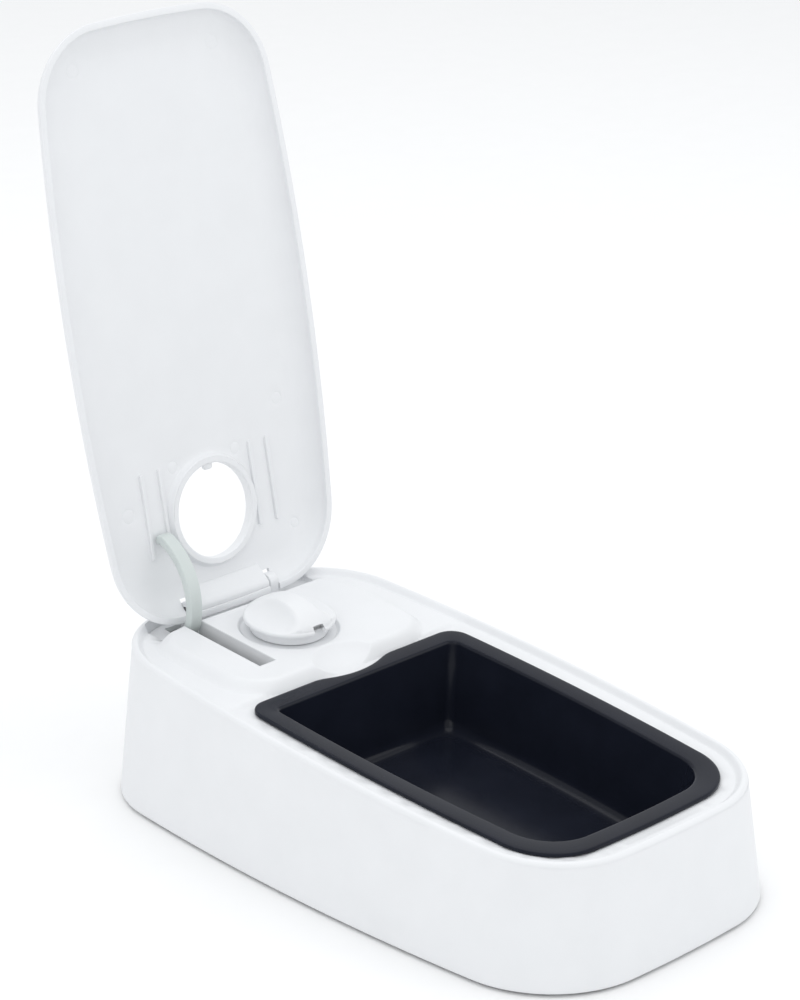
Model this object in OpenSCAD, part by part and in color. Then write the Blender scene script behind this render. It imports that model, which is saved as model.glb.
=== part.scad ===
// Automatic pet feeder: a low, forward-sloping case with a lift-out bowl,
// a sprung lid on a rear hinge and a battery-driven timer dial that lets it go.
// Millimetres. +Z is up, -Y is the front where the animal eats.

/* [Case] */
// Half length between the corner centres of the case outline
core_y = 79.2; // [60:0.1:100]
// Half width between the corner centres of the case outline
core_x = 23.4; // [15:0.1:40]
// Outward bow of each long side
bow_side = 3.6; // [0.5:0.1:8]
// Outward bow of the front and rear ends
bow_end = 0.6; // [0.3:0.1:5]
// Corner radius of the footprint
foot_r = 40.2; // [25:0.1:50]
// How far each wall leans in from the ground to the rim
draft = 5.7; // [1:0.1:10]
// Height of the rim at mid length
rim_h = 51.9; // [40:0.1:70]
// Forward slope of the top, in degrees
slope = 3.9; // [0:0.1:10]
// Wall thickness of the case
wall = 2.4; // [1.5:0.1:4]
// Gap between the wall and the ground
ground_gap = 1.0; // [0.5:0.1:3]

/* [Top deck] */
// Depth of the ledge round the bowl, below the rim
ledge_d = 2.2; // [1:0.1:4]
// Height of the rear deck above the rim
deck_up = 1.3; // [0:0.1:5]
// Half width of the rear deck
deck_x = 46; // [35:0.5:52]
// Front edge of the rear deck
deck_v0 = 40.6; // [35:0.1:60]
// Rear edge of the rear deck, in front of the hinge trough
deck_v1 = 97.5; // [90:0.5:102]
// Depth of the hinge trough below the rim
trough_d = 4.4; // [3:0.1:7]
// Half width of the hinge trough
trough_x = 38.5; // [37.5:0.5:50]
// Radius of the dish that the timer dial sits in
dish_r = 18.2; // [17:0.1:22]

/* [Lid] */
// Gap from the rim outline to the lid outline
lid_in = 4.9; // [3:0.1:8]
// Height of the lid
lid_h = 7.8; // [6:0.1:16]
// Thickness of the lid's top and skirt
lid_t = 1.7; // [1.2:0.1:3]
// Angle from closed to the open stop, in degrees
lid_open = 105; // [90:1:120]
// Radius of the hole that the dial comes up through
hole_r = 17.4; // [15:0.1:22]

/* [Bowl] */
// Half width of the bowl's flange at the rear
bowl_xr = 50.6; // [40:0.1:55]
// Half width of the bowl's flange at the front
bowl_xf = 48.4; // [40:0.1:55]
// Depth of the bowl under the rim
bowl_d = 35; // [25:0.5:38]
// Width of the bowl's flange
flange_w = 8; // [5:0.5:12]

/* [Timer dial] */
// Radius of the dial's flange
dial_r = 16.8; // [14:0.1:20]
// Height of the dial's flange above the rim
dial_w = 4.4; // [3.5:0.1:6]
// Teeth on the output wheel
out_teeth = 60; // [40:1:80]
// Teeth on the counter pinion
pin_teeth = 12; // [10:1:16]
// Teeth on the counter wheel
mid_teeth = 30; // [20:1:36]
// Teeth on the motor pinion
mot_teeth = 10; // [8:1:14]

/* [Hidden] */
$fn = 64;
eps = 0.02;
top_r = foot_r - draft;
side_R = (core_y * core_y + bow_side * bow_side) / (2 * bow_side);
end_R = (core_x * core_x + bow_end * bow_end) / (2 * bow_end);
side_a = asin(core_y / side_R);
end_a = asin(core_x / end_R);
shift_y = -14.3;
running = 0.05;
// hinge line and arm pivot, in the sloped frame
hinge_v = 105.5;
hinge_w = 1.5;
hinge_r = 1.5;
knuckle_r = 3.2;
lug_r = 3.4;
lug_in = 17.4;
lug_t = 4;
arm_v = 102.9;
arm_w = -8.4;
arm_x = -25.5;
arm_t = 5.4;
arm_pin_r = 1.25;
slot_half = 3.8;
slot_v0 = 56;
slot_v1 = 108;
// lid levels in the sloped frame, with the lid closed
lid_w = -ledge_d + 0.4;
lid_in_w = lid_w + lid_h - lid_t;
// bowl
bowl_v1 = 39.4;
bowl_v0 = -103.9;
bowl_rr = 7.5;
bowl_rf = 23;
flange_t = 1.6;
flange_w0 = -ledge_d - 0.9;
scoop_R = 34;
scoop_in = 3.8;
// timer
dial_v = 73;
gear_m = 0.5;
case_x0 = -17;
case_x1 = 27;
case_v0 = 52;
case_v1 = 95;
case_w0 = -24;
case_split = -10;
case_w1 = -3;
case_t = 1.5;
out_w = -8.6;
wheel_t = 1.6;
mid_dir = -34;
mot_dir = 198;
mid_d = gear_m * (out_teeth + pin_teeth) / 2 + 0.1;
mot_d = gear_m * (mid_teeth + mot_teeth) / 2 + 0.1;
mid_p = [0, dial_v] + mid_d * [cos(mid_dir), sin(mid_dir)];
mot_p = mid_p + mot_d * [cos(mot_dir), sin(mot_dir)];
mid_w = -13.2;
case_screws = [[-13.5, 55.5], [24, 55], [24, 91.5], [-13.5, 91.5]];
// base
plate_z = 2.6;
plate_t = 2.4;
feet_at = [[52, 84], [-52, 84], [50, -86], [-50, -86]];
screws_at = [[56, 58], [-56, 58], [56, -64], [-56, -64]];
pad_z = 7;
cell_x = 33;
cell_y0 = 46.8;
cell_l = 50.5;
cell_r = 7.15;
cell_z = 12.6;
bay_x = [22.5, 43.5];
bay_y = [45, 101.6];
bay_t = 1.4;
door_y = [43.8, 101.9];
door_slide = 6;

white = [0.93, 0.94, 0.95];
dark = [0.10, 0.11, 0.13];
grey_green = [0.78, 0.82, 0.81];
steel = [0.72, 0.73, 0.75];
brass = [0.80, 0.65, 0.30];
nylon = [0.88, 0.88, 0.84];

// ---------- outlines ----------

function arc(c, r, a0, a1, n) = [for (i = [0:n - 1]) let (a = a0 + (a1 - a0) * i / n) c + r * [cos(a), sin(a)]];

// bowed rounded outline of the case, with corner radius r
function outline(r) = concat(
    arc([core_x + bow_side - side_R, 0], side_R + r, -side_a, side_a, 14),
    arc([core_x, core_y], r, side_a, 90 - end_a, 14),
    arc([0, core_y + bow_end - end_R], end_R + r, 90 - end_a, 90 + end_a, 6),
    arc([-core_x, core_y], r, 90 + end_a, 180 - side_a, 14),
    arc([-core_x - bow_side + side_R, 0], side_R + r, 180 - side_a, 180 + side_a, 14),
    arc([-core_x, -core_y], r, 180 + side_a, 270 - end_a, 14),
    arc([0, -core_y - bow_end + end_R], end_R + r, 270 - end_a, 270 + end_a, 6),
    arc([core_x, -core_y], r, 270 + end_a, 360 - side_a, 14));

// bowl outline, drawn in by inset on every side
function tray(inset) = let (xr = bowl_xr - inset, xf = bowl_xf - inset, v1 = bowl_v1 - inset, v0 = bowl_v0 + inset,
    rr = max(bowl_rr - inset * 0.6, 3), rf = bowl_rf - inset * 0.6, m = (v0 + v1) / 2, xm = (xr + xf) / 2 + 1.4)
    concat(arc([xf - rf, v0 + rf], rf, -90, 0, 12), [[xm - 0.3, m - 22], [xm, m], [xm - 0.1, m + 22]],
    arc([xr - rr, v1 - rr], rr, 0, 90, 10), arc([-xr + rr, v1 - rr], rr, 90, 180, 10),
    [[-xm + 0.1, m + 22], [-xm, m], [-xm + 0.3, m - 22]], arc([-xf + rf, v0 + rf], rf, 180, 270, 12));

// rounded rectangle from corner a to corner b
function plaque(a, b, r) = concat(arc([b[0] - r, a[1] + r], r, -90, 0, 8), arc([b[0] - r, b[1] - r], r, 0, 90, 8),
    arc([a[0] + r, b[1] - r], r, 90, 180, 8), arc([a[0] + r, a[1] + r], r, 180, 270, 8));

// ---------- helpers ----------

module place() translate([0, shift_y, 0]) children();

module tilt() translate([0, 0, rim_h]) rotate([slope, 0, 0]) children();

module slab(w0, w1, pts) translate([0, 0, w0]) linear_extrude(w1 - w0) polygon(pts);

module drum(p, w0, w1, r) translate([p[0], p[1], w0]) cylinder(h = w1 - w0, r = r);

module block(a, b) translate(a) cube(b - a);

// cylinder along X between x0 and x1
module axle(x0, x1, v, w, r) translate([x0, v, w]) rotate([0, 90, 0]) cylinder(h = x1 - x0, r = r);

// round wire swept along its route as one closed tube
function unit(v) = v / norm(v);

function heading(pts, i) = i == 0 ? unit(pts[1] - pts[0]) : i == len(pts) - 1 ? unit(pts[i] - pts[i - 1])
    : unit(unit(pts[i + 1] - pts[i]) + unit(pts[i] - pts[i - 1]));

module wire(pts, r, n = 8) {
    m = len(pts);
    rings = [for (i = [0:m - 1]) let (d = heading(pts, i), s = unit(cross(d, [1, 0, 0])), u = cross(s, d))
        for (k = [0:n - 1]) pts[i] + r * (cos(360 * k / n) * s + sin(360 * k / n) * u)];
    sides = [for (i = [0:m - 2], k = [0:n - 1]) let (a = i * n, b = a + n, next = (k + 1) % n)
        [a + next, b + next, b + k, a + k]];
    ends = [[for (k = [0:n - 1]) n - 1 - k], [for (k = [0:n - 1]) (m - 1) * n + k]];
    polyhedron(rings, concat(sides, ends));
}

// spur gear: straight-flanked teeth with running backlash
module gear(teeth, t, bore) {
    pr = gear_m * teeth / 2;
    step = 360 / teeth;
    ro = pr + gear_m * 0.85;
    ri = pr - gear_m * 1.2;
    pts = [for (i = [0:teeth - 1], q = [[ri, -0.34], [pr, -0.22], [ro, -0.1], [ro, 0.1], [pr, 0.22], [ri, 0.34]])
        q[0] * [cos((i + q[1]) * step), sin((i + q[1]) * step)]];
    difference() {
        linear_extrude(t) polygon(pts);
        translate([0, 0, -1]) cylinder(h = t + 2, r = bore, $fn = 32);
    }
}

module open_lid() translate([0, hinge_v, hinge_w]) rotate([-lid_open, 0, 0]) translate([0, -hinge_v, -hinge_w]) children();

// ---------- case ----------

module case_form(z0, rb, w1, rt) hull() {
    translate([0, 0, z0]) linear_extrude(eps) polygon(outline(rb));
    tilt() translate([0, 0, w1 - eps]) linear_extrude(eps) polygon(outline(rt));
}

module deck_plan() intersection() {
    polygon(plaque([-deck_x, deck_v0], [deck_x, deck_v1 + 8], 14));
    polygon(outline(top_r - lid_in - 4.6));
    translate([-deck_x, deck_v0]) square([2 * deck_x, deck_v1 - deck_v0]);
}

// plan of the trough, grown by side beyond its half width
module trough_plan(edge, side) intersection() {
    polygon(outline(top_r - edge));
    translate([-trough_x - side, deck_v1]) square([2 * (trough_x + side), 20]);
}

module lid_lugs() {
    for (s = [-1, 1]) {
        x0 = s > 0 ? lug_in : -lug_in - lug_t;
        axle(x0, x0 + lug_t, hinge_v, hinge_w, lug_r);
        block([x0, hinge_v - lug_r, -trough_d - 0.5], [x0 + lug_t, hinge_v + lug_r, hinge_w]);
    }
}

module arm_lugs() for (x0 = [arm_x - slot_half - 3, arm_x + slot_half]) {
    axle(x0, x0 + 3, arm_v, arm_w, 4);
    block([x0, arm_v - 4, arm_w], [x0 + 3, arm_v + 4, -trough_d - 1]);
}

module housing_shell() color(white) difference() {
    union() {
        difference() {
            case_form(ground_gap, foot_r, 0, top_r);
            case_form(0, foot_r - wall, -ledge_d - 2.2, top_r - wall);
            tilt() translate([0, 0, -ledge_d]) linear_extrude(9) difference() {
                polygon(outline(top_r - 3));
                deck_plan();
            }
        }
        tilt() translate([0, 0, -ledge_d - 2.3]) linear_extrude(ledge_d + 2.3 + deck_up) deck_plan();
        tilt() translate([0, 0, -trough_d - 2.2]) linear_extrude(2.4) trough_plan(wall - 0.4, 2);
        tilt() block([-trough_x - 2, deck_v1 - 2.2, -trough_d - 2.2], [trough_x + 2, deck_v1, -ledge_d]);
        tilt() arm_lugs();
        tilt() for (p = case_screws) drum(p, case_w1 + 0.1, 0, 3);
        tilt() drum([0, dial_v], case_w1 + 0.1, 0, dish_r + 1.6);
        for (p = screws_at) translate([p[0], p[1], pad_z + 0.1]) cylinder(h = 37, r = 3.6);
    }
    tilt() translate([0, 0, -trough_d]) linear_extrude(12) trough_plan(1.7, 0);
    tilt() slab(-30, 10, tray(4.6));
    tilt() slab(flange_w0 - 0.2, 1, tray(-0.6));
    tilt() difference() {
        slab(-8, -1, plaque([-42, 51.4], [42, deck_v1 - 2.2], 4));
        for (p = case_screws) drum(p, case_w1 + 0.1, 0, 3);
        drum([0, dial_v], case_w1 + 0.1, 0, dish_r + 1.6);
    }
    tilt() block([arm_x - slot_half - 7.8, arm_v - 3.4, arm_w - 6],
        [arm_x - slot_half - 3, arm_v + 3.4, -trough_d - 1]);
    tilt() drum([0, dial_v], 0.1, 5, dish_r);
    tilt() drum([0, dial_v], -5, 5, 3.4);
    tilt() block([arm_x - slot_half, slot_v0, -16], [arm_x + slot_half, slot_v1, 5]);
    tilt() axle(arm_x - 9, arm_x + 9, arm_v, arm_w, arm_pin_r + 0.01);
    tilt() translate([0, 38, 20]) sphere(r = 24.2);
    tilt() for (p = case_screws) drum(p, -5, 0.4, 1.12);
    for (p = screws_at) translate([p[0], p[1], 0]) cylinder(h = 20, r = 1.27);
}

module lug_frame() color(white) tilt() difference() {
    intersection() {
        lid_lugs();
        block([-30, 90, -trough_d], [30, 130, 20]);
    }
    axle(-30, 30, hinge_v, hinge_w, hinge_r + 0.01);
}

// ---------- base ----------

module base_plate() color(white) difference() {
    union() {
        translate([0, 0, plate_z]) linear_extrude(plate_t) polygon(outline(foot_r - wall - 1.2));
        for (p = screws_at) translate([p[0], p[1], plate_z]) cylinder(h = pad_z - plate_z, r = 5.4);
        block([bay_x[0] - bay_t, bay_y[0] - bay_t, plate_z], [bay_x[1] + bay_t, bay_y[1] + bay_t, 22]);
    }
    block([bay_x[0], bay_y[0], plate_z + plate_t], [bay_x[1], bay_y[1], 20.6]);
    block([bay_x[0] + 1.5, bay_y[0] + 1.5, 0], [bay_x[1] - 1.5, bay_y[1] - 1.5, 8]);
    block([bay_x[0] - 1.6, door_y[0] - 0.3, 0], [bay_x[1] + 1.6, door_y[1] + door_slide + 0.4, plate_z + 1.4]);
    for (p = screws_at) {
        translate([p[0], p[1], -1]) cylinder(h = 6, r = 3.1);
        translate([p[0], p[1], 0]) cylinder(h = 10, r = 1.7);
    }
    for (y = bay_y) block([cell_x - 1.4, y - 3, 14], [cell_x + 1.4, y + 3, 17]);
}

module feet() color([0.25, 0.26, 0.27]) for (p = feet_at) translate([p[0], p[1], 0]) {
    cylinder(h = plate_z, r = 6.5);
}

module base_screws() color(steel) for (p = screws_at) translate([p[0], p[1], 0]) difference() {
    union() {
        translate([0, 0, 3.4]) cylinder(h = 1.6, r = 2.8);
        translate([0, 0, 4]) cylinder(h = 13, r = 1.25);
    }
    for (a = [0, 90]) translate([0, 0, 3.4]) rotate([0, 0, a]) cube([3, 0.7, 1.4], center = true);
}

module battery_door() color(white) {
    x0 = bay_x[0] - 1.3;
    x1 = bay_x[1] + 1.3;
    difference() {
        translate([0, 0, plate_z - 0.2]) linear_extrude(1.3) polygon(plaque([x0, door_y[0]], [x1, door_y[1]], 1));
        for (i = [0:4]) translate([0, door_y[0] + 6 + i * 2, plate_z])
            block([cell_x - 6, 0, -1], [cell_x + 6, 1, 0.3]);
    }
}

module battery_cell() color([0.30, 0.32, 0.34]) translate([cell_x, cell_y0, cell_z]) rotate([-90, 0, 0]) {
    cylinder(h = 1.5, r = 2.7);
    translate([0, 0, 1.4]) cylinder(h = cell_l - 1.4, r = cell_r);
}

module contact_front() color(steel) {
    block([cell_x - 6, bay_y[0] + 0.1, 7], [cell_x + 6, bay_y[0] + 0.6, 18]);
    block([cell_x - 1.2, bay_y[0] - 3, 15.2], [cell_x + 1.2, bay_y[0] + 0.4, 15.7]);
}

module contact_rear() color(steel) {
    block([cell_x - 6, bay_y[1] - 0.6, 7], [cell_x + 6, bay_y[1] - 0.1, 18]);
    block([cell_x - 1.2, bay_y[1] - 0.4, 15.2], [cell_x + 1.2, bay_y[1] + 3, 15.7]);
    for (i = [0:3]) translate([cell_x, bay_y[1] - 1 - i * 0.9, cell_z]) rotate([90, 0, 0])
        rotate_extrude() translate([5 - i * 0.7, 0]) circle(r = 0.5, $fn = 16);
}

module lead_wires() color([0.65, 0.12, 0.10]) {
    wire([[cell_x, bay_y[0] - 2.4, 16.6], [cell_x - 3, bay_y[0] - 2.6, 24.6], [14, 50, 27], [-8, 60, 28],
        [-13.8, 72, 31], [-13.8, 76.6, 34.6], [-13.8, 82.5, 36.2]], 0.6);
    wire([[cell_x, bay_y[1] + 2.4, 16.6], [cell_x - 3, bay_y[1] + 2.4, 24.6], [16, 98, 27], [-4, 88, 28],
        [-11.6, 74, 31], [-11.6, 77, 34.6], [-11.6, 82.5, 36.2]], 0.6);
}

// ---------- bowl ----------

module bowl() color(dark) tilt() difference() {
    union() {
        slab(flange_w0, flange_w0 + flange_t, tray(0));
        hull() {
            slab(flange_w0, flange_w0 + flange_t, tray(flange_w - 2));
            slab(-bowl_d, -bowl_d + 1, tray(flange_w + 5));
        }
    }
    hull() {
        slab(flange_w0, 4, tray(flange_w));
        slab(-bowl_d + 2, -bowl_d + 3, tray(flange_w + 6.6));
    }
    drum([0, bowl_v1 - scoop_in + scoop_R], -3, 3, scoop_R);
}

// ---------- lid ----------

// barrel round the hinge pin, joined to the lid's panel by a wedge
module lid_knuckle() {
    x1 = lug_in - 0.3;
    axle(-x1, x1, hinge_v, hinge_w, knuckle_r);
    translate([-x1, 0, 0]) rotate([90, 0, 90]) linear_extrude(2 * x1)
        polygon([[98.4, lid_in_w - 0.7], [103.35, -0.88], [hinge_v, hinge_w], [103.4, 4.2],
            [98.4, lid_in_w + 0.5]]);
}

module lid_shape() difference() {
    union() {
        difference() {
            hull() {
                slab(lid_w, lid_w + 1.2, outline(top_r - lid_in));
                slab(lid_w, lid_w + 4.6, outline(top_r - lid_in - 2));
                slab(lid_w, lid_w + 6.6, outline(top_r - lid_in - 6));
                slab(lid_w, lid_w + lid_h, outline(top_r - lid_in - 14));
            }
            slab(lid_w - 1, lid_w + 3.5, outline(top_r - lid_in - 3));
            slab(lid_w - 1, lid_w + 4.9, outline(top_r - lid_in - 5.5));
            slab(lid_w - 1, lid_in_w - 0.5, outline(top_r - lid_in - 8.5));
            slab(lid_w - 1, lid_in_w, outline(top_r - lid_in - 13));
        }
        drum([0, dial_v], 1.8, lid_in_w + 0.5, hole_r + 2.6);
        for (x = [-30, -21.6, 21.6, 30]) block([x - 0.8, 52.5, 3.4], [x + 0.8, 84.5, lid_in_w + 0.6]);
        lid_knuckle();
    }
    drum([0, dial_v], -3, 12, hole_r);
    axle(-20, 20, hinge_v, hinge_w, hinge_r + running);
    for (s = [-1, 1]) {
        x0 = s > 0 ? lug_in - 0.3 : -lug_in - lug_t - 0.3;
        block([x0, hinge_v - 6.5, -4], [x0 + lug_t + 0.6, hinge_v + 6, lid_in_w + 0.9]);
    }
}

module lid() color(white) tilt() open_lid() {
    lid_shape();
    block([-2.2, dial_v - hole_r - 0.6, 2.4], [2.2, dial_v - hole_r + 2.3, 3.9]);
}

module hinge_pin() color(steel) tilt() axle(-lug_in - lug_t, lug_in + lug_t, hinge_v, hinge_w, hinge_r);

// ---------- lifter ----------

module arm_plan() difference() {
    union() {
        circle(r = 4);
        polygon(concat(arc([16.5, 15.5], 26.1, 112, 201, 22), arc([16.5, 15.5], 22.8, 201, 112, 22)));
        translate([7.9, 37.6]) circle(r = 1.9);
        polygon([[-3.9, -0.6], [-1.4, 3.7], [-4.3, 7.4], [-7.6, 6.2]]);
    }
    circle(r = arm_pin_r + running);
}

module lifter_arm() color(grey_green) tilt() translate([arm_x - arm_t / 2, arm_v, arm_w])
    rotate([-slope, 0, 0]) rotate([90, 0, 90]) linear_extrude(arm_t) arm_plan();

module arm_pin() color(steel) tilt() axle(arm_x - slot_half - 7.4, arm_x + slot_half + 3, arm_v, arm_w, arm_pin_r);

module lifter_spring() color(steel) tilt() {
    translate([arm_x - slot_half - 7.2, arm_v, arm_w]) rotate([0, 90, 0]) rotate_extrude() for (i = [0:3])
        translate([2.2, 0.45 + i * 0.85]) circle(r = 0.47, $fn = 24);
    translate([arm_x - slot_half - 6.7, arm_v, arm_w - 2.2]) rotate([90, 0, 0]) cylinder(h = 8, r = 0.4);
}

// ---------- timer dial ----------

module timer_dial() color(white) tilt() translate([0, dial_v, 0]) difference() {
    union() {
        translate([0, 0, 0.5]) cylinder(h = dial_w - 0.4, r = 14.3);
        translate([0, 0, dial_w]) cylinder(h = 1.6, r = dial_r);
        intersection() {
            translate([0, 0, dial_w - 15.6]) sphere(r = 24);
            translate([0, 0, dial_w + 1]) cylinder(h = 9, r = dial_r - 0.9);
        }
    }
    for (s = [-1, 1]) translate([s * 15.4, 0, dial_w + 13.2]) rotate([90, 0, 0]) cylinder(h = 60, r = 12.2, center = true);
    translate([-2.7, -dial_r - 1, 0]) cube([5.4, 3.2, 14]);
    translate([0, 0, -1]) cylinder(h = 8.1, r = 2.52);
}

module output_shaft() color(steel) tilt() {
    drum([0, dial_v], -19, 7, 2.5);
    drum([0, dial_v], -21.6, -18.9, 1.5);
    drum([0, dial_v], -10.4, -9.4, 4.2);
}

module output_wheel() color(brass) tilt() translate([0, dial_v, out_w])
    rotate([0, 0, mid_dir]) gear(out_teeth, wheel_t, 2.52);

module clutch_washer() color(steel) tilt() translate([0, dial_v, -9.35]) difference() {
    cylinder(h = 0.7, r = 4.6);
    translate([0, 0, -1]) cylinder(h = 3, r = 2.55);
}

module counter_wheel() color(nylon) tilt() translate([mid_p[0], mid_p[1], mid_w]) {
    rotate([0, 0, mot_dir]) gear(mid_teeth, 1.5, 0.85);
    translate([0, 0, 1.49]) rotate([0, 0, mid_dir + 180 + 180 / pin_teeth]) gear(pin_teeth, 5, 0.85);
}

module counter_arbor() color(steel) tilt() drum(mid_p, -22.4, -4.6, 0.8);

module drive_motor() color(steel) tilt() {
    drum(mot_p, -22.4, -14.4, 6);
    drum(mot_p, -14.5, -13.7, 2);
}

module motor_pinion() color(brass) tilt() {
    translate([mot_p[0], mot_p[1], mid_w - 0.3]) rotate([0, 0, mot_dir + 180 + 180 / mot_teeth])
        gear(mot_teeth, 2.2, 0.5);
    drum(mot_p, mid_w - 0.3, -9.8, 0.5);
}

// ---------- timer case ----------

module case_wall(w0, w1) difference() {
    slab(w0, w1, plaque([case_x0, case_v0], [case_x1, case_v1], 3));
    slab(w0 - 1, w1 + 1, plaque([case_x0 + case_t, case_v0 + case_t], [case_x1 - case_t, case_v1 - case_t], 1.5));
}

module screw_posts(w0, w1) for (p = case_screws) drum(p, w0, w1, 2.6);

module timer_case_base() color(nylon) tilt() difference() {
    union() {
        case_wall(case_w0, case_split);
        slab(case_w0, case_w0 + case_t, plaque([case_x0, case_v0], [case_x1, case_v1], 3));
        screw_posts(case_w0, case_split);
        drum([0, dial_v], case_w0 + 1, -19.2, 3.6);
        drum(mid_p, case_w0 + 1, -15, 2.2);
        for (p = [[-7, 80.6], [5, 80.6], [-6, 91.4]]) drum(p, case_w0 + 1, -20.6, 1.4);
    }
    drum([0, dial_v], -21.8, 0, 1.5 + running);
    drum(mid_p, -22.5, 0, 0.82);
    for (p = case_screws) {
        drum(p, -30, 0, 1.2);
        drum(p, -30, case_w0 + 1.6, 2.1);
    }
    block([-14.8, 66, case_w0 - 1], [-10.6, 78.2, case_w0 + 2]);
}

module timer_case_top() color(nylon) tilt() difference() {
    union() {
        case_wall(case_split + 0.05, case_w1);
        slab(case_w1 - case_t, case_w1, plaque([case_x0, case_v0], [case_x1, case_v1], 3));
        screw_posts(case_split + 0.05, case_w1);
        drum([0, dial_v], -6.4, case_w1, 4.4);
        drum(mid_p, -5.6, case_w1, 2.2);
    }
    drum([0, dial_v], -30, 5, 2.5 + running);
    drum(mid_p, -30, -4.4, 0.82);
    for (p = case_screws) drum(p, -30, 0, 1.2);
}

module timer_screws() color(steel) tilt() for (p = case_screws) difference() {
    union() {
        drum(p, case_w0, case_w0 + 1.5, 1.95);
        drum(p, case_w0 + 1, 0.2, 1.1);
    }
    translate([p[0], p[1], case_w0]) for (a = [0, 90]) rotate([0, 0, a]) cube([2.4, 0.5, 1.2], center = true);
}

module circuit_board() color([0.10, 0.35, 0.20]) tilt() difference() {
    block([-15, 78.6, -20.5], [8, 93, -19.3]);
    block([-16, 88.4, -22], [-10.4, 95, -18]);
}

module crystal_can() color(steel) tilt() translate([-4, 90.4, -18.1]) rotate([0, 90, 0]) cylinder(h = 8, r = 1.1);

module timer_chip() color([0.08, 0.08, 0.09]) tilt() block([-5, 81, -19.25], [3, 86, -17.6]);

// ---------- assembly ----------

place() {
    union() {
        housing_shell();
        lug_frame();
    }
    base_plate();
    feet();
    base_screws();
    battery_door();
    battery_cell();
    contact_front();
    contact_rear();
    lead_wires();
    bowl();
    lid();
    hinge_pin();
    lifter_arm();
    arm_pin();
    lifter_spring();
    timer_dial();
    output_shaft();
    output_wheel();
    clutch_washer();
    timer_case_top();
    timer_case_base();
    timer_screws();
    counter_wheel();
    counter_arbor();
    drive_motor();
    motor_pinion();
    circuit_board();
    crystal_can();
    timer_chip();
}
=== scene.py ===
"""Looks of the automatic pet feeder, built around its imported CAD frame. Shapes are in millimetres in the
sloped frame of the case top (x across, v towards the hinge, w up from the rim) until piece() places them."""

import math

import bmesh
import bpy
import numpy as np
from mathutils import Matrix, Vector
from mathutils.geometry import delaunay_2d_cdt


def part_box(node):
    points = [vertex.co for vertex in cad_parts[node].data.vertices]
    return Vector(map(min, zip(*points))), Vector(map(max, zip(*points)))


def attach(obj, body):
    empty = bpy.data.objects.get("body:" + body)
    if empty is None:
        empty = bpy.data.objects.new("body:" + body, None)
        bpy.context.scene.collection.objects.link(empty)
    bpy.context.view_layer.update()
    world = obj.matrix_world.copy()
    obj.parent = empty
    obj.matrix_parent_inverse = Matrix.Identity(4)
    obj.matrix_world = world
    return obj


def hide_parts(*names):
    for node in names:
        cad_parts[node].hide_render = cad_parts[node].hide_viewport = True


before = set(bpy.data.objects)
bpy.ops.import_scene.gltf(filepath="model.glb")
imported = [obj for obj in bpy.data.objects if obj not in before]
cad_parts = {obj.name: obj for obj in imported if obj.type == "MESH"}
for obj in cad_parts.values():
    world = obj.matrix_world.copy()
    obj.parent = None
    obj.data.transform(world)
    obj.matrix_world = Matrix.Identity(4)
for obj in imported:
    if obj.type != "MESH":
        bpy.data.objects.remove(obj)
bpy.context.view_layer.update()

# ---------- the sloped frame ----------
SLOPE = math.radians(3.9)
RIM_H = 51.9
SHIFT = sum(c.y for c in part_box("housing_shell")) * 500
METRES = Matrix.Scale(0.001, 4)
GROUND = Matrix.Translation((0, SHIFT / 1000, 0)) @ METRES
PLACE = Matrix.Translation((0, SHIFT / 1000, RIM_H / 1000)) @ Matrix.Rotation(SLOPE, 4, "X") @ METRES
HINGE = Vector((0, 105.5, 1.5))
LID_OPEN = math.radians(105)
OPEN = Matrix.Translation(HINGE) @ Matrix.Rotation(-LID_OPEN, 4, "X") @ Matrix.Translation(-HINGE)
ARM_PIVOT = (102.9, -8.4)


def sloped(x, y, z):
    """A point given above the ground, in the sloped frame."""
    c, s = math.cos(SLOPE), math.sin(SLOPE)
    return (x, y * c + (z - RIM_H) * s, -y * s + (z - RIM_H) * c)


# ---------- camera ----------
cam_data = bpy.data.cameras.new("camera")
cam_data.sensor_width = 36
cam_data.lens = 115.87
cam = bpy.data.objects.new("camera", cam_data)
bpy.context.scene.collection.objects.link(cam)
cam.matrix_world = Matrix((
    (0.71804, 0.24956, -0.64971, -0.71546),
    (-0.69600, 0.25742, -0.67032, -0.72298 + SHIFT / 1000),
    (0.0, 0.93352, 0.35853, 0.51761),
    (0, 0, 0, 1),
))
bpy.context.scene.camera = cam


# ---------- outlines ----------
CX, CY, BOW_S, BOW_E = 23.4, 79.2, 3.6, 0.6
FOOT_R, TOP_R = 40.2, 34.5
SIDE_R = (CY * CY + BOW_S * BOW_S) / (2 * BOW_S)
END_R = (CX * CX + BOW_E * BOW_E) / (2 * BOW_E)
SIDE_A = math.asin(CY / SIDE_R)
END_A = math.asin(CX / END_R)


def arc(c, r, a0, a1, n):
    """Points from angle a0 up to, but not at, a1 round centre c."""
    angles = [a0 + (a1 - a0) * i / n for i in range(n)]
    return [(c[0] + r * math.cos(a), c[1] + r * math.sin(a)) for a in angles]


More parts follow.
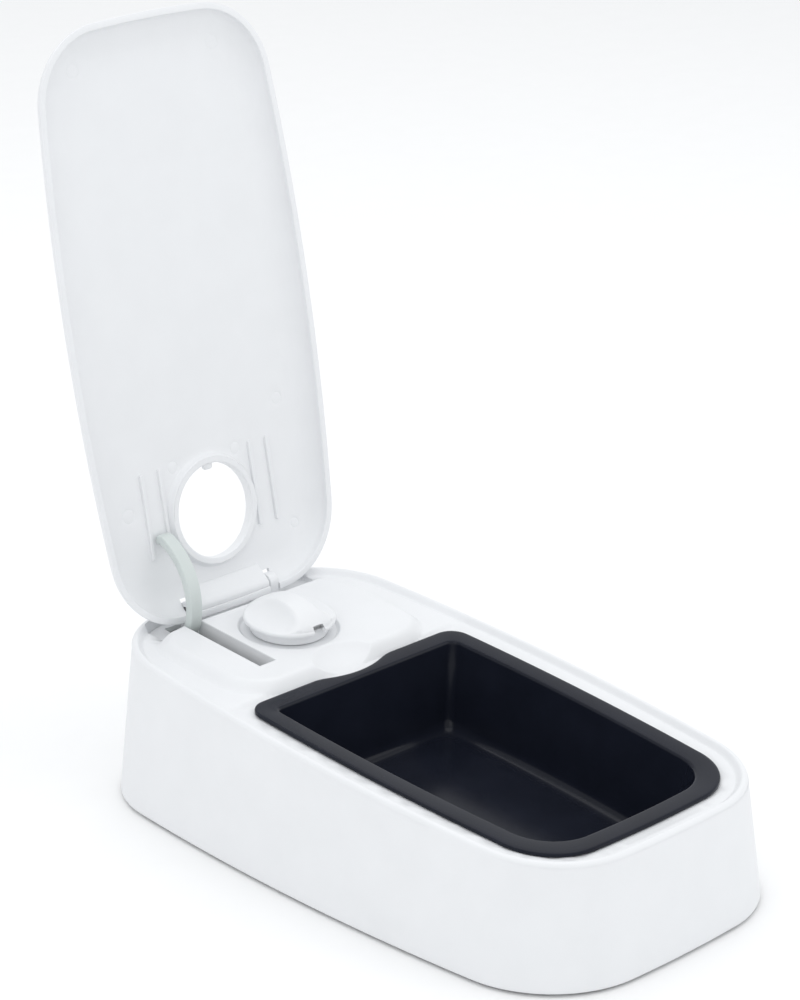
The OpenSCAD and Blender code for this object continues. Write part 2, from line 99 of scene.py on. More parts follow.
def outline(r, extra=()):
    """Bowed rounded outline of the case at corner radius r; extra adds points at these x on the rear end."""
    h, s, e = math.pi / 2, SIDE_A, END_A
    side, end = SIDE_R + r, END_R + r
    at = h - e
    rear = sorted([h - math.asin(x / end) for x in extra] + [at + 2 * e * i / 14 for i in range(14)])
    cy = CY + BOW_E - END_R
    return (
        arc((CX + BOW_S - SIDE_R, 0), side, -s, s, 44)
        + arc((CX, CY), r, s, h - e, 26)
        + [(end * math.cos(a), cy + end * math.sin(a)) for a in rear]
        + arc((-CX, CY), r, h + e, 2 * h - s, 26)
        + arc((-CX - BOW_S + SIDE_R, 0), side, 2 * h - s, 2 * h + s, 44)
        + arc((-CX, -CY), r, 2 * h + s, 3 * h - e, 26)
        + arc((0, -cy), end, 3 * h - e, 3 * h + e, 14)
        + arc((CX, -CY), r, 3 * h + e, 4 * h - s, 26)
    )


def reach(x, v):
    """The corner radius of the outline that passes through (x, v)."""
    x, v = abs(x), abs(v)
    dx, dv = x - (CX + BOW_S - SIDE_R), v
    if dx > 0 and math.atan2(dv, dx) <= SIDE_A:
        return math.hypot(dx, dv) - SIDE_R
    dx, dv = x, v - (CY + BOW_E - END_R)
    if dv > 0 and math.atan2(dx, dv) <= END_A:
        return math.hypot(dx, dv) - END_R
    return math.hypot(x - CX, v - CY)


def tray(inset):
    """Outline of the bowl, drawn in by inset on every side."""
    xr, xf, v1, v0 = 50.6 - inset, 48.5 - inset, 39.4 - inset, -103.6 + inset
    rr, rf = max(7.5 - inset * 0.6, 3), 23 - inset * 0.6
    bulge, bow, n, h = 5.7, 0.6, 26, math.pi / 2
    side = []
    for i in range(n):
        t = i / n
        side.append((xf + (xr - xf) * t + bulge * t * (1 - t), v0 + rf + (v1 - rr - v0 - rf) * t))
    left = [(-x, v) for x, v in reversed(side[1:] + [(xr, v1 - rr)])]
    front = [((xf - rf) * k, v0 - bow * (1 - k * k)) for k in (i / 6 - 1 for i in range(12))]
    rear = [((xr - rr) * (1 - 2 * i / 48), v1) for i in range(48)]
    return (
        front
        + arc((xf - rf, v0 + rf), rf, -h, 0, 18)
        + side
        + arc((xr - rr, v1 - rr), rr, 0, h, 12)
        + rear
        + arc((-xr + rr, v1 - rr), rr, h, 2 * h, 12)
        + left
        + arc((-xf + rf, v0 + rf), rf, 2 * h, 3 * h, 18)
    )


def circle(c, r, n=96):
    return arc(c, r, 0, 2 * math.pi, n)


def plaque(a, b, r, n=6):
    """Rounded rectangle from corner a to corner b."""
    h = math.pi / 2
    return (
        arc((b[0] - r, a[1] + r), r, -h, 0, n) + [(b[0], a[1] + r)]
        + arc((b[0] - r, b[1] - r), r, 0, h, n) + [(b[0] - r, b[1])]
        + arc((a[0] + r, b[1] - r), r, h, 2 * h, n) + [(a[0], b[1] - r)]
        + arc((a[0] + r, a[1] + r), r, 2 * h, 3 * h, n) + [(a[0] + r, a[1])]
    )


def inset(poly, d):
    """The closed outline moved inwards by d along its corner normals (counter-clockwise outlines)."""
    out, n = [], len(poly)
    for i, (x, y) in enumerate(poly):
        (px, py), (qx, qy) = poly[i - 1], poly[(i + 1) % n]
        a, b = Vector((x - px, y - py)).normalized(), Vector((qx - x, qy - y)).normalized()
        m = Vector((-(a.y + b.y), a.x + b.x))
        stretch = max(0.35, math.sqrt(max((1 + a.dot(b)) / 2, 0)))
        m = m.normalized() / stretch if m.length > 1e-6 else Vector((0, 0))
        out.append((x + m.x * d, y + m.y * d))
    return out


def smooth(t):
    t = min(max(t, 0.0), 1.0)
    return t * t * (3 - 2 * t)


def blend_min(a, b, k):
    h = max(k - abs(a - b), 0) / k
    return min(a, b) - h * h * k / 4


def blend_max(a, b, k):
    return -blend_min(-a, -b, k)


def edge_round(d, r):
    """How far a surface drops at distance d from an edge rounded to radius r."""
    return 0.0 if d >= r else r - math.sqrt(max(r * r - (r - max(d, 0)) ** 2, 0))


def grid(x0, x1, v0, v1, step):
    nx, nv = int((x1 - x0) / step), int((v1 - v0) / step)
    return [(x0 + (i + 0.5 * (j % 2)) * step, v0 + j * step) for i in range(nx) for j in range(nv)]


def within(poly, pts):
    """Which of the points lie inside the closed outline."""
    p = np.array(pts, float)
    a = np.array(poly, float)
    b = np.roll(a, -1, axis=0)
    hit = np.zeros(len(p), bool)
    for (ax, ay), (bx, by) in zip(a, b):
        cross = (ay > p[:, 1]) != (by > p[:, 1])
        if by != ay:
            hit ^= cross & (p[:, 0] < (bx - ax) * (p[:, 1] - ay) / (by - ay) + ax)
    return hit


# ---------- mesh building ----------
def upright(a, b, h):
    """Puts an outline drawn in plan, extruded upwards."""
    return (a, b, h)


def across(a, b, h):
    """Puts an outline drawn from the side, extruded along x."""
    return (h, a, b)


class Skin:
    """Collects lofted and relief surfaces for one piece."""
    NORMAL_STEP = 0.03

    def __init__(self):
        self.verts, self.faces, self.tags, self.heights = [], [], [], []
        self.plan_of = {}

    def face(self, f, tag=0):
        self.faces.append(tuple(f))
        self.tags.append(tag)

    def loft(self, rings, loop=False, caps=(False, False)):
        base, n = len(self.verts), len(rings[0])
        for r in rings:
            self.verts += [tuple(p) for p in r]
        count = len(rings)
        for i in range(count if loop else count - 1):
            k = (i + 1) % count
            for j in range(n):
                m = (j + 1) % n
                self.face((base + i * n + j, base + i * n + m, base + k * n + m, base + k * n + j))
        if caps[0]:
            self.face(range(base, base + n))
        if caps[1]:
            self.face(range(base + (count - 1) * n, base + count * n))

    def prism(self, poly, h0, h1, r0=0.4, r1=0.4, place=upright, segs=4):
        """Extrusion of an outline with rounded end edges."""
        prof = []
        for i in range(segs + 1):
            t = math.pi / 2 * i / segs
            prof.append((r0 * (1 - math.sin(t)), h0 + r0 * (1 - math.cos(t))))
        for i in range(segs + 1):
            t = math.pi / 2 * i / segs
            prof.append((r1 * (1 - math.cos(t)), h1 - r1 * (1 - math.sin(t))))
        self.loft([[place(x, y, h) for x, y in inset(poly, d)] for d, h in prof], caps=(True, True))

    def relief(self, outer, holes, top, under, extra=(), points=(), place=upright):
        """A plate over a plan: top and under give its two faces at each point, with walls at every boundary."""
        pts, edges = [], []
        for ring in (outer, *holes, *extra):
            k = len(pts)
            pts += list(ring)
            edges += [(k + i, k + (i + 1) % len(ring)) for i in range(len(ring))]
        pts += list(points)
        out = delaunay_2d_cdt([Vector(p) for p in pts], edges, [], 0, 1e-4)
        plan, tris = [(p.x, p.y) for p in out[0]], out[2]
        mid = [(sum(plan[i][0] for i in t) / 3, sum(plan[i][1] for i in t) / 3) for t in tris]
        good = within(outer, mid)
        for hole in holes:
            good &= ~within(hole, mid)
        tris = [t for t, g in zip(tris, good) if g]
        used = sorted({i for t in tris for i in t})
        base = len(self.verts)
        up = {i: base + k for k, i in enumerate(used)}
        down = {i: base + len(used) + k for k, i in enumerate(used)}
        self.heights.append((top, place))
        tag = len(self.heights)
        self.verts += [place(*plan[i], top(*plan[i])) for i in used]
        self.verts += [place(*plan[i], under(*plan[i])) for i in used]
        count = {}
        for t in tris:
            self.face([up[i] for i in t], tag)
            self.face([down[i] for i in reversed(t)])
            for a, b in ((t[0], t[1]), (t[1], t[2]), (t[2], t[0])):
                count[(a, b)] = 1
        for a, b in list(count):
            if (b, a) not in count:
                self.face((up[b], up[a], down[a], down[b]))
        for i in used:
            self.plan_of[(tag, up[i])] = plan[i]

    def mesh(self, name, world, sharp=32):
        """The finished mesh in metres, with exact normals on the upper faces of its reliefs."""
        me = bpy.data.meshes.new(name)
        me.from_pydata(self.verts, [], self.faces)
        bm = bmesh.new()
        bm.from_mesh(me)
        layer = bm.faces.layers.int.new("tag")
        for f, t in zip(bm.faces, self.tags):
            f[layer] = t
        bmesh.ops.recalc_face_normals(bm, faces=bm.faces)
        bm.to_mesh(me)
        bm.free()
        me.transform(world)
        for p in me.polygons:
            p.use_smooth = True
        me.set_sharp_from_angle(angle=math.radians(sharp))
        if self.heights:
            turn = world.to_3x3()
            tags = me.attributes["tag"].data
            done, normals = {}, [Vector((0, 0, 0))] * len(me.loops)
            for p in me.polygons:
                t = tags[p.index].value
                if not t:
                    continue
                for li in p.loop_indices:
                    key = (t, me.loops[li].vertex_index)
                    if key not in done:
                        done[key] = self.normal(key, turn)
                    n = done[key]
                    normals[li] = n if n.dot(p.normal) > 0 else -n
            me.normals_split_custom_set([tuple(n) for n in normals])
        me.attributes.remove(me.attributes["tag"])
        return me

    def normal(self, key, turn):
        """The normal of a relief's upper face, from its slopes on either side of the point."""
        top, place = self.heights[key[0] - 1]
        x, v = self.plan_of[key]
        e = self.NORMAL_STEP
        a = Vector(place(x + e, v, top(x + e, v))) - Vector(place(x - e, v, top(x - e, v)))
        b = Vector(place(x, v + e, top(x, v + e))) - Vector(place(x, v - e, top(x, v - e)))
        return (turn @ a.cross(b)).normalized()


def piece(name, skin, body, nodes, material, world=PLACE, sharp=32):
    """Makes the object, lets it ride its body, stand for its CAD nodes and fill its material slot."""
    obj = bpy.data.objects.new(name, skin.mesh(name, world, sharp))
    bpy.context.scene.collection.objects.link(obj)
    obj.data.materials.append(material)
    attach(obj, body)
    if nodes:
        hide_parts(*nodes)
    return obj


# ---------- materials ----------
def material(name, colour, rough, spread=0.03, grain=900, bump=0.02, metal=0.0, wave=0.0, coat=0.0,
             specular=0.5, mottle=60, rough_spread=0.05):
    """Moulded or machined surface: colour mottling, uneven gloss and a fine grain in the bump."""
    m = bpy.data.materials.new(name)
    m.use_nodes = True
    nt = m.node_tree
    n, link = nt.nodes, nt.links.new
    bsdf = n["Principled BSDF"]
    bsdf.inputs["Metallic"].default_value = metal
    bsdf.inputs["Specular IOR Level"].default_value = specular
    bsdf.inputs["Coat Weight"].default_value = coat
    bsdf.inputs["Coat Roughness"].default_value = 0.08
    coord = n.new("ShaderNodeTexCoord")
    big = n.new("ShaderNodeTexNoise")
    big.inputs["Scale"].default_value = mottle
    big.inputs["Detail"].default_value = 4
    link(coord.outputs["Object"], big.inputs["Vector"])
    ramp = n.new("ShaderNodeValToRGB")
    ramp.color_ramp.elements[0].position = 0.3
    ramp.color_ramp.elements[1].position = 0.7
    ramp.color_ramp.elements[0].color = (*[c * (1 - spread) for c in colour], 1)
    ramp.color_ramp.elements[1].color = (*[min(c * (1 + spread), 1) for c in colour], 1)
    link(big.outputs["Fac"], ramp.inputs["Fac"])
    link(ramp.outputs["Color"], bsdf.inputs["Base Color"])
    fine = n.new("ShaderNodeTexNoise")
    fine.inputs["Scale"].default_value = grain
    fine.inputs["Detail"].default_value = 3
    link(coord.outputs["Object"], fine.inputs["Vector"])
    gloss = n.new("ShaderNodeMapRange")
    gloss.inputs["From Min"].default_value = 0.3
    gloss.inputs["From Max"].default_value = 0.7
    gloss.inputs["To Min"].default_value = rough - rough_spread
    gloss.inputs["To Max"].default_value = rough + rough_spread
    link(big.outputs["Fac"], gloss.inputs["Value"])
    link(gloss.outputs["Result"], bsdf.inputs["Roughness"])
    b = n.new("ShaderNodeBump")
    b.inputs["Strength"].default_value = bump
    b.inputs["Distance"].default_value = 0.0004
    source = fine.outputs["Fac"]
    if wave:
        rings = n.new("ShaderNodeTexWave")
        rings.inputs["Scale"].default_value = wave
        rings.inputs["Distortion"].default_value = 0.4
        link(coord.outputs["Object"], rings.inputs["Vector"])
        add = n.new("ShaderNodeMath")
        link(rings.outputs["Fac"], add.inputs[0])
        link(fine.outputs["Fac"], add.inputs[1])
        source = add.outputs["Value"]
    link(source, b.inputs["Height"])
    link(b.outputs["Normal"], bsdf.inputs["Normal"])
    return m


WHITE = material("case_white", (0.80, 0.81, 0.825), 0.42, spread=0.012, bump=0.05, grain=1400)
DARK = material("bowl_dark", (0.010, 0.012, 0.020), 0.17, spread=0.12, bump=0.008, specular=0.16,
                rough_spread=0.02)
GREY = material("arm_grey", (0.62, 0.67, 0.655), 0.45, spread=0.02, bump=0.06)
RUBBER = material("foot_rubber", (0.045, 0.047, 0.05), 0.75, spread=0.15, bump=0.25, grain=1600)
STEEL = material("pin_steel", (0.56, 0.57, 0.58), 0.28, metal=1.0, spread=0.05, bump=0.05, wave=160)
BRASS = material("gear_brass", (0.72, 0.52, 0.22), 0.32, metal=1.0, spread=0.06, bump=0.05, wave=120)
NYLON = material("nylon_natural", (0.78, 0.77, 0.70), 0.5, spread=0.03, bump=0.08)
GREEN = material("board_green", (0.02, 0.13, 0.06), 0.4, spread=0.2, bump=0.15, wave=220)
CHIP = material("chip_black", (0.02, 0.02, 0.022), 0.5, spread=0.2, bump=0.15)
CELL = material("cell_jacket", (0.09, 0.10, 0.12), 0.3, spread=0.08, bump=0.04, coat=0.3)
WIRE = material("wire_red", (0.42, 0.03, 0.025), 0.4, spread=0.1, bump=0.08)

# ---------- case ----------
LEDGE, DECK, TROUGH = -2.2, 1.3, -4.4
RECESS = 1.15
DECK_X, DECK_REACH, DECK_CORNER = 46.4, 25.4, 18
DECK_V0, DECK_V1 = 40.6, 97.5
TROUGH_X, TROUGH_R = 38.5, 32.75
DIAL = (0, 73)
DISH, DISH_R = 0.1, 19.4
SCOOP_V, SCOOP_W, SCOOP_R = 38, 20, 24.2
SLOT = ((-29.3, 56), (-21.7, 108))
CREST = 32.9
CASE_FOOT = 1.0
SCREWS = ((56, 58), (-56, 58), (56, -64), (-56, -64))


def deck_depth(x, v):
    """Distance inside the deck's foot line, with a soft front corner."""
    a = blend_min(DECK_X - abs(x), DECK_REACH - reach(x, v), 2.0)
    b = v - DECK_V0
    r = DECK_CORNER
    if a < r and b < r:
        return r - math.hypot(r - a, r - b)
    return min(a, b)


def slot_gap(x, v):
    """Distance from the lifter arm's slot, which runs out at the rear."""
    dx = max(SLOT[0][0] - x, x - SLOT[1][0], 0)
    dv = max(SLOT[0][1] - v, 0)
    return math.hypot(dx, dv)


def case_top(x, v):
    """Height of the case top: rim, ledge, deck, dial dish, thumb scoop and the slot's and trough's edges."""
    w = LEDGE * smooth((CREST - reach(x, v)) / 2.7)
    w -= RECESS * smooth((30 - reach(x, v)) / 4.4) * smooth((44 - v) / 3)
    t = min(max(deck_depth(x, v) / 5.2, 0), 1)
    behind = smooth((DECK_V1 + 0.4 - v) / 1.6 + 2 * max(TROUGH_X - abs(x), 0))
    w += (DECK - w) * (0.55 * smooth(t) + 0.45 * (1 - (1 - t) ** 2)) * behind
    d = math.hypot(x, v - DIAL[1])
    if d < DISH_R:
        w = min(w, DISH + (DECK - DISH) * smooth((d - 17.3) / 1.5))
    s = SCOOP_R ** 2 - x * x - (v - SCOOP_V) ** 2
    if s > 100:
        w = blend_min(w, SCOOP_W - math.sqrt(s), 0.5)
    w -= edge_round(slot_gap(x, v), 0.35)
    if reach(x, v) < 31:
        w -= edge_round(math.hypot(max(abs(x) - TROUGH_X, 0), max(DECK_V1 - v, 0)), 0.3)
    return w


def trough_plan(r, d):
    """The hinge trough inside the case outline at corner radius r, drawn in by d at its front and ends."""
    x1, v0 = TROUGH_X - d, DECK_V1 + d
    v1 = CY + math.sqrt(r * r - (x1 - CX) ** 2)
    rear = [(x, v) for x, v in outline(r) if v > v0 and abs(x) < x1 - 0.05]
    return [(-x1, v0), (x1, v0), (x1, v1), *rear, (-x1, v1)]


def trough_floor(x, v):
    """Height of the hinge trough's floor, with its rounded foot."""
    d = min(TROUGH_R - reach(x, v), v - DECK_V1, TROUGH_X - abs(x))
    return TROUGH + edge_round(d, 0.8)


def case_shell():
    """Side walls, top plate, hinge trough, hinge and pivot lugs and screw posts of the case."""
    s = Skin()
    foot, rim = outline(FOOT_R), outline(TOP_R)
    foot_in, rim_in = outline(FOOT_R - 2.4), outline(TOP_R - 2.4)

    def wall(t, lower, upper):
        """The ring at share t of the way up from the foot outline to the rim outline."""
        row = []
        for (x, y), (a, b) in zip(lower, upper):
            p, q = Vector(sloped(x, y, CASE_FOOT)), Vector((a, b, 0))
            row.append(tuple(p.lerp(q, t)))
        return row

    rings = []
    for z, d in ((CASE_FOOT, 1.0), (CASE_FOOT, 0.5), (CASE_FOOT + 0.15, 0.15)):
        rings.append([sloped(x, y, z) for x, y in outline(FOOT_R - d)])
    rings += [wall(t, foot, rim) for t in (0.01, 0.03, 0.2, 0.4, 0.6, 0.8, 0.93, 0.962)]
    for i in range(9):
        a = math.pi / 2 * i / 8
        r = CREST + 0.12 + 1.6 * math.cos(a) + 0.12 * (1 - math.sin(a))
        rings.append([(x, v, -1.75 + 1.75 * math.sin(a)) for x, v in outline(r)])
    rings.append([(x, v, 0) for x, v in outline(CREST)])
    rings.append([(x, v, -4.4) for x, v in outline(TOP_R - 2.6)])
    rings += [wall(t, foot_in, rim_in) for t in (0.9, 0.5, 0.02)]
    rings.append([sloped(x, y, CASE_FOOT) for x, y in outline(FOOT_R - 1.6)])
    s.loft(rings, loop=True)

    hole = tray(4.6)
    slot = plaque(*SLOT, 0.6)
    trough = trough_plan(TROUGH_R, 0)
    rows = [outline(r) for r in (32.4, 31.9, 31.4, 30.9, 30.5, 30.2, 29.6)]
    rows += [circle(DIAL, r, 120) for r in (17.2, 17.5, 17.8, 18.1, 18.4, 18.7, 19.0)]
    for d in (0.12, 0.25, 0.38):
        rows.append(plaque((SLOT[0][0] - d, SLOT[0][1] - d), (SLOT[1][0] + d, 96.9), 0.6 + d))
    dots = grid(-54, 54, 39.8, 97.2, 0.8) + grid(-18, 18, 35.2, 55, 0.5) + grid(-56, 56, -108, 39, 5)
    dots = [p for p in dots if reach(*p) < 29.9]
    s.relief(outline(CREST), [hole, slot, trough], case_top, lambda x, v: -4.5, extra=rows, points=dots)
    rows = [trough_plan(TROUGH_R - d, d) for d in (0.15, 0.35, 0.65)]
    s.relief(trough, [slot], trough_floor, lambda x, v: -6.5, extra=rows)

    for side in (-1, 1):
        x0 = 17.4 if side > 0 else -21.4
        lug = [(102.1, -6), (108.9, -6)] + arc((HINGE.y, HINGE.z), 3.4, 0, math.pi, 24) + [(102.1, 1.5)]
        s.prism(lug, x0, x0 + 4, 0.4, 0.4, across)
    for x0 in (-32.3, -21.7):
        round_end = arc(ARM_PIVOT, 4, math.pi, 2 * math.pi, 20)
        lug = [(98.9, -6.2), (98.9, -8.4)] + round_end + [(106.9, -8.4), (106.9, -6.2)]
        s.prism(lug, x0, x0 + 3, 0.3, 0.3, across)
    for x, y in SCREWS:
        ring = lambda r, z: [sloped(x + a, y + b, z) for a, b in circle((0, 0), r, 32)]
        post = ((1.3, 12), (1.3, 7.1), (3.3, 7.1), (3.6, 7.4), (3.6, 42))
        s.loft([ring(r, z) for r, z in post], caps=(True, True))
    return s


# ---------- bowl ----------
NOTCH_V, NOTCH_R = 69.6, 34.0


def notch(pts, e):
    """The rear edge drawn in by the thumb arc, e inside the flange edge."""
    out = []
    for x, v in pts:
        if abs(x) < 30 and v > 20:
            r = NOTCH_R + e
            v = blend_min(v, NOTCH_V - math.sqrt(r * r - x * x), 1.6)
        out.append((x, v))
    return out


def bowl_skin():
    """The bowl as one loft of (inset, height) rings: outside, flange, inside."""
    s = Skin()
    outside = [(30, -34.9), (18.5, -34.9), (15.2, -34.5), (13.3, -33.2), (12.4, -31), (7.2, -5.6), (6.7, -3.5),
               (6.2, -3.15)]
    rings = [[(x, v, w) for x, v in tray(i)] for i, w in outside]
    flange = [(0.55, -3.1), (0.2, -3.0), (0.0, -2.7), (0.0, -1.95), (0.12, -1.65), (0.35, -1.5), (0.8, -1.45),
              (1.4, -1.45)]
    for i, w in flange:
        rings.append([(x, v, w) for x, v in notch(tray(i), i)])
    inside = [(6.5, -1.5), (6.9, -1.58), (7.2, -1.8), (7.5, -2.2), (7.65, -2.8), (7.8, -4.2), (9.3, -10),
              (11.0, -18), (12.7, -26), (13.3, -29), (13.9, -31), (15.0, -32.3), (16.6, -32.9), (19, -33),
              (30, -33)]
    rings += [[(x, v, w) for x, v in tray(i)] for i, w in inside]
    s.loft(rings, caps=(True, True))
    return s


# ---------- lid ----------
LID_R = TOP_R - 4.9
HOLE_R = 17.4
LUG_GAP = (17.1, 21.7)
PANEL_IN, PANEL_OUT, COLLAR_TIP = 4.3, 6.0, 1.8
RELIEF_R = 21.9
KNUCKLE_R = 3.2
# the lid's edge is a quarter ellipse inside and out: radius and height of its centre, half width, half height
IN_R, IN_W, IN_A, IN_B = 16, -1.0, 11, 5.3
OUT_R, OUT_W, OUT_A, OUT_B = 13.6, -1.6, 16, 7.6


def lid_inner(r):
    """Inside of the lid at outline radius r, with the lid closed."""
    return PANEL_IN if r <= IN_R else IN_W + IN_B * math.sqrt(max(1 - ((r - IN_R) / IN_A) ** 2, 0))


def lid_outer(r):
    """Outside of the lid at outline radius r, with the lid closed."""
    return PANEL_OUT if r <= OUT_R else OUT_W + OUT_B * math.sqrt(max(1 - ((r - OUT_R) / OUT_A) ** 2, 0))


def lid_skirt(s):
    """The curved edge of the lid, cut through beside the two hinge lugs."""
    prof = []
    start = math.asin((RELIEF_R - OUT_R) / OUT_A)
    for i in range(13):
        a = start + (math.pi / 2 - start) * i / 12
        prof.append((OUT_R + OUT_A * math.sin(a), OUT_W + OUT_B * math.cos(a)))
    prof += [(29.5, -1.73), (29.3, -1.8), (27.5, -1.8), (27.2, -1.73), (27.05, -1.5)]
    stop = math.acos((RELIEF_R - IN_R) / IN_A)
    for i in range(13):
        a = stop * i / 12
        prof.append((IN_R + IN_A * math.cos(a), IN_W + IN_B * math.sin(a)))
    edges = [side * x for side in (-1, 1) for x in LUG_GAP]
    base, plan = len(s.verts), outline(LID_R, edges)
    n = len(plan)
    for r, w in prof:
        s.verts += [(x, v, w) for x, v in outline(r, edges)]
    gap = []
    for j in range(n):
        (x, v), (p, q) = plan[j], plan[(j + 1) % n]
        gap.append(min(v, q) > DECK_V1 and LUG_GAP[0] < abs(x + p) / 2 < LUG_GAP[1])
    for i in range(len(prof)):
        k = (i + 1) % len(prof)
        for j in range(n):
            m = (j + 1) % n
            if not gap[j]:
                s.face((base + i * n + j, base + i * n + m, base + k * n + m, base + k * n + j))
    for j in range(n):
        if gap[j] != gap[j - 1]:
            s.face([base + i * n + j for i in range(len(prof))])


# ejector marks inside the lid: x, v and radius
MARKS = ((15, 53.5, 2.2), (32, -93.5, 2.6), (-32, -93.5, 2.6), (-15, 53.5, 2.2), (38, 88, 1.8), (-38, 66, 2.6),
         (38, 40, 2.2))


def lid_face(x, v):
    """Height of the lid's inside face, with the collar round its hole and the ejector marks."""
    d = math.hypot(x, v - DIAL[1])
    w = lid_inner(reach(x, v))
    if d < 24:
        t = min(max((d - 19.6) / 3.6, 0), 1)
        if d < 19.6:
            w = COLLAR_TIP + edge_round(d - HOLE_R, 0.5) + edge_round(19.9 - d, 0.5)
        else:
            w -= (w - COLLAR_TIP) * (1 - smooth(t * 2.4)) + 0.6 * (1 - t) ** 2 * smooth(t * 2.4)
    for mx, mv, mr in MARKS:
        e = math.hypot(x - mx, v - mv)
        if e < mr + 0.6:
            w += 0.10 * (1 - smooth(abs(e - mr) / 0.5))
    return w


def lid_skin():
    """Curved edge, panel, ribs, hinge knuckle and tooth of the lid, drawn closed."""
    s = Skin()
    lid_skirt(s)
    collar = (17.5, 17.65, 17.8, 18.1, 19.3, 19.5, 19.6, 19.8, 20.1, 20.5, 20.9, 21.4, 21.9, 22.5, 23.2)
    rows = [circle(DIAL, r, 128) for r in collar]
    rows += [circle((mx, mv), mr + e, 36) for mx, mv, mr in MARKS for e in (-0.45, -0.2, 0, 0.2, 0.45)]
    rows += [outline(r) for r in (20.4, 18.9, 17.4, 16, 14.8, 13.6)]
    dots = [p for p in grid(-48, 48, -100, 98, 6) if reach(*p) < 21]
    rim = outline(RELIEF_R, [side * x for side in (-1, 1) for x in LUG_GAP])
    s.relief(rim, [circle(DIAL, HOLE_R, 128)], lid_face,
             lambda x, v: lid_outer(reach(x, v)) - edge_round(math.hypot(x, v - DIAL[1]) - HOLE_R, 0.6),
             extra=rows, points=dots)
    for x in (-30, -21.6, 21.6, 30):
        s.prism(plaque((x - 0.75, 52.5), (x + 0.75, 84.5), 0.7), 3.4, 4.9, 0.3, 0.0)
    barrel = arc((HINGE.y, HINGE.z), KNUCKLE_R, math.radians(228), math.radians(480), 40)
    s.prism([(98.4, 3.6)] + barrel + [(98.4, 4.9)], -LUG_GAP[0], LUG_GAP[0], 0.4, 0.4, across)
    tooth = plaque((-2.1, DIAL[1] - HOLE_R - 0.8), (2.1, DIAL[1] - HOLE_R + 2.2), 1.2)
    s.prism(tooth, 2.5, 3.9, 0.4, 0.3)
    return s


# ---------- timer dial ----------
CAP_R = 16.2
CUT_V, CUT_ANGLE = 15.0, math.radians(8.6)


def dial_ring(r):
    """A circle of the dial, cut straight across at its front notch."""
    cutoff, front = CUT_ANGLE, 1.5 * math.pi
    corners = [front + k for k in (-cutoff - 0.002, -cutoff, cutoff, cutoff + 0.002)]
    angles = sorted([2 * math.pi * i / 144 for i in range(144)] + corners)
    pts = []
    for a in angles:
        x, v = r * math.cos(a), r * math.sin(a)
        if abs(a - front) <= cutoff + 1e-6 and v < -CUT_V:
            x, v = x * -CUT_V / v, -CUT_V
        pts.append((x, DIAL[1] + v))
    return pts


def dial_top(x, v):
    """Height of the dial: a dome with a scoop on either side of the finger bar, down to the flange."""
    v -= DIAL[1]
    d = math.hypot(x, v)
    dome = -11.2 + math.sqrt(max(24 ** 2 - d * d, 0))
    a = abs(x) - 15.4
    scoop = 17.6 - math.sqrt(max(12.2 ** 2 - a * a, 0)) if abs(a) < 12.2 else 17.6
    w = blend_min(dome, scoop, 1.2)
    w = blend_min(w, 6.9 - edge_round(CAP_R - d, 0.9), 0.01) if d > 15.9 else w
    return blend_max(w, 6.0 - edge_round(16.6 - d, 0.6), 0.5)


def dial_skin():
    s = Skin()
    rings = [[(x, v, dial_top(x, v)) for x, v in dial_ring(CAP_R)]]
    for r, w in ((16.5, 5.85), (16.7, 5.6), (16.8, 5.25), (16.8, 4.85), (16.7, 4.55), (16.4, 4.4), (14.9, 4.4),
                 (14.5, 4.3), (14.3, 4.0), (14.3, 1.0), (14.15, 0.65), (13.8, 0.5)):
        rings.append([(x, v, w) for x, v in dial_ring(r)])
    s.loft(rings, caps=(False, True))
    rows = [circle(DIAL, r, 144) for r in (15.9, 15.4, 14.9)]
    dots = [(x, v) for x, v in grid(-15, 15, 58, 88, 0.6) if math.hypot(x, v - DIAL[1]) < 14.6]
    dots += [p for r in rows for p in r if p[1] > 58.8]
    s.relief(dial_ring(CAP_R), [], dial_top, lambda x, v: 4.6, points=dots)
    return s


# ---------- lifter arm ----------
def arm_outline():
    """Side view of the arm round its pivot: tip, outer curve, hub, inner curve."""
    c = (16.5, 15.5)
    tip = arc((7.9, 37.6), 1.9, math.radians(-60), math.radians(100), 12)
    outer = arc(c, 26.1, math.radians(113), math.radians(201), 34)
    hub = arc((0, 0), 4, math.radians(189), math.radians(471), 34)
    inner = list(reversed(arc(c, 22.8, math.radians(114), math.radians(201), 34)))
    return tip + outer + hub + inner


def arm_skin():
    s = Skin()
    c, t = math.cos(-SLOPE), math.sin(-SLOPE)
    put = lambda a, b, h: (h, ARM_PIVOT[0] + a * c - b * t, ARM_PIVOT[1] + a * t + b * c)
    s.prism(arm_outline(), -28.2, -22.8, 0.6, 0.6, put)
    return s


piece("case_shell", case_shell(), "case", ["housing_shell"], WHITE)
piece("feeding_bowl", bowl_skin(), "bowl", ["bowl"], DARK)
piece("lid_panel", lid_skin(), "lid", ["lid"], WHITE, world=PLACE @ OPEN)
piece("dial_knob", dial_skin(), "dial", ["timer_dial"], WHITE)
piece("lift_arm", arm_skin(), "lifter", ["lifter_arm"], GREY)

# ---------- feet ----------
FEET = ((52, 84), (-52, 84), (50, -86), (-50, -86))
feet = Skin()
for fx, fy in FEET:
    foot_ring = lambda r, z: [(fx + a, fy + b, z) for a, b in circle((0, 0), r, 48)]
    pad = ((4.6, 0.25), (4.9, 0.05), (5.2, 0.0), (6.0, 0.0), (6.35, 0.12), (6.5, 0.45), (6.5, 2.6))
    feet.loft([foot_ring(r, z) for r, z in pad], caps=(True, True))
piece("rubber_feet", feet, "case", ["feet"], RUBBER, world=GROUND)

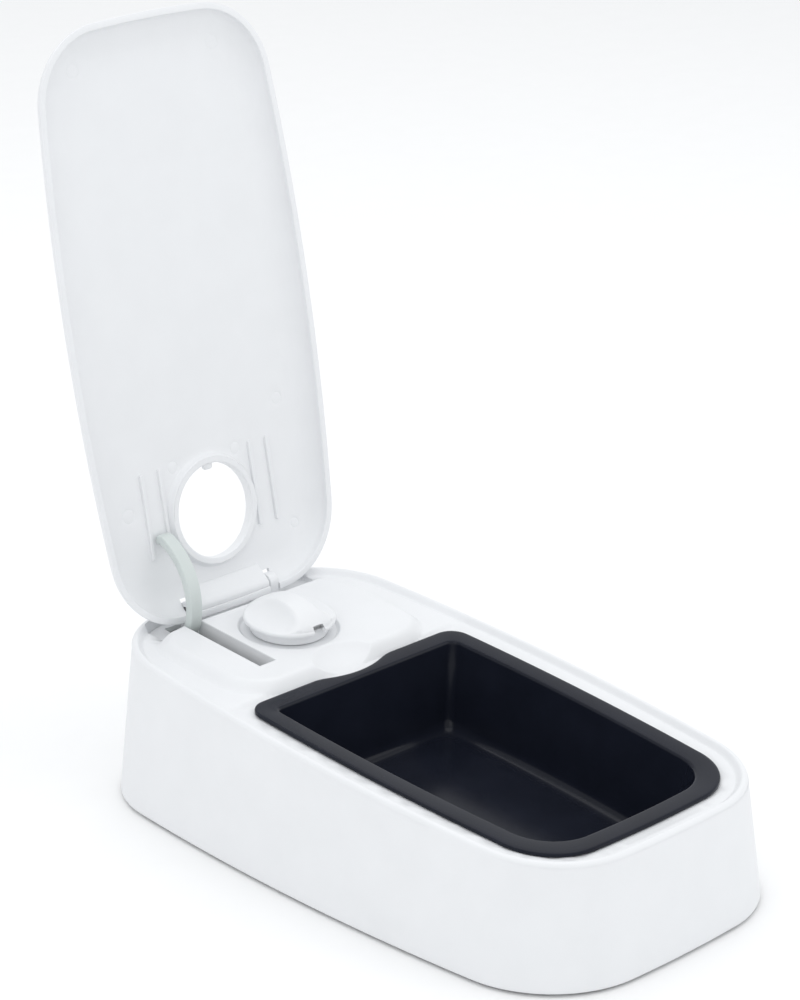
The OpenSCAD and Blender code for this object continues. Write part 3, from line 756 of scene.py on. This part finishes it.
# ---------- carried-over nodes ----------
FINISHED = (
    (WHITE, ("base_plate", "battery_door")),
    (STEEL, ("base_screws", "contact_front", "contact_rear", "hinge_pin", "arm_pin", "lifter_spring",
             "output_shaft", "clutch_washer", "timer_screws", "counter_arbor", "drive_motor", "crystal_can")),
    (BRASS, ("output_wheel", "motor_pinion")),
    (NYLON, ("timer_case_top", "timer_case_base", "counter_wheel")),
    (CELL, ("battery_cell",)),
    (WIRE, ("lead_wires",)),
    (GREEN, ("circuit_board",)),
    (CHIP, ("timer_chip",)),
)
for finish, nodes in FINISHED:
    for node in nodes:
        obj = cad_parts[node]
        obj.data.materials.clear()
        obj.data.materials.append(finish)

# ---------- floor and light ----------
# the floor lies a little below the feet, so that the two faces don't coincide
FLOOR_DROP = 0.0002
floor_mesh = bpy.data.meshes.new("floor")
bm = bmesh.new()
bmesh.ops.create_grid(bm, x_segments=8, y_segments=8, size=6)
bm.to_mesh(floor_mesh)
bm.free()
floor = bpy.data.objects.new("floor", floor_mesh)
bpy.context.scene.collection.objects.link(floor)
PALE = material("floor_pale", (0.93, 0.93, 0.93), 0.9, spread=0.004, bump=0.0, specular=0.1)
floor_mesh.materials.append(PALE)
floor.location.z = -FLOOR_DROP

world = bpy.data.worlds.new("studio")
bpy.context.scene.world = world
world.use_nodes = True
world.node_tree.nodes["Background"].inputs["Color"].default_value = (0.97, 0.985, 1.0, 1)
world.node_tree.nodes["Background"].inputs["Strength"].default_value = 0.90


def area(name, at, aim, size, power, colour=(1, 1, 1)):
    data = bpy.data.lights.new(name, "AREA")
    data.shape = "RECTANGLE"
    data.size, data.size_y = size
    data.energy = power
    data.color = colour
    lamp = bpy.data.objects.new(name, data)
    bpy.context.scene.collection.objects.link(lamp)
    lamp.location = at
    lamp.rotation_mode = "QUATERNION"
    lamp.rotation_quaternion = (Vector(aim) - Vector(at)).to_track_quat("-Z", "Y")


area("top_soft", (0.1, 0.2, 1.3), (0, 0, 0.05), (1.4, 1.4), 4.9)
area("key_left", (-1.1, -0.5, 0.9), (0, 0, 0.08), (0.9, 0.9), 1.75)
area("fill_right", (0.9, -1.0, 0.7), (0, 0, 0.08), (1.0, 1.0), 1.9)

bpy.context.scene.view_settings.view_transform = "Standard"
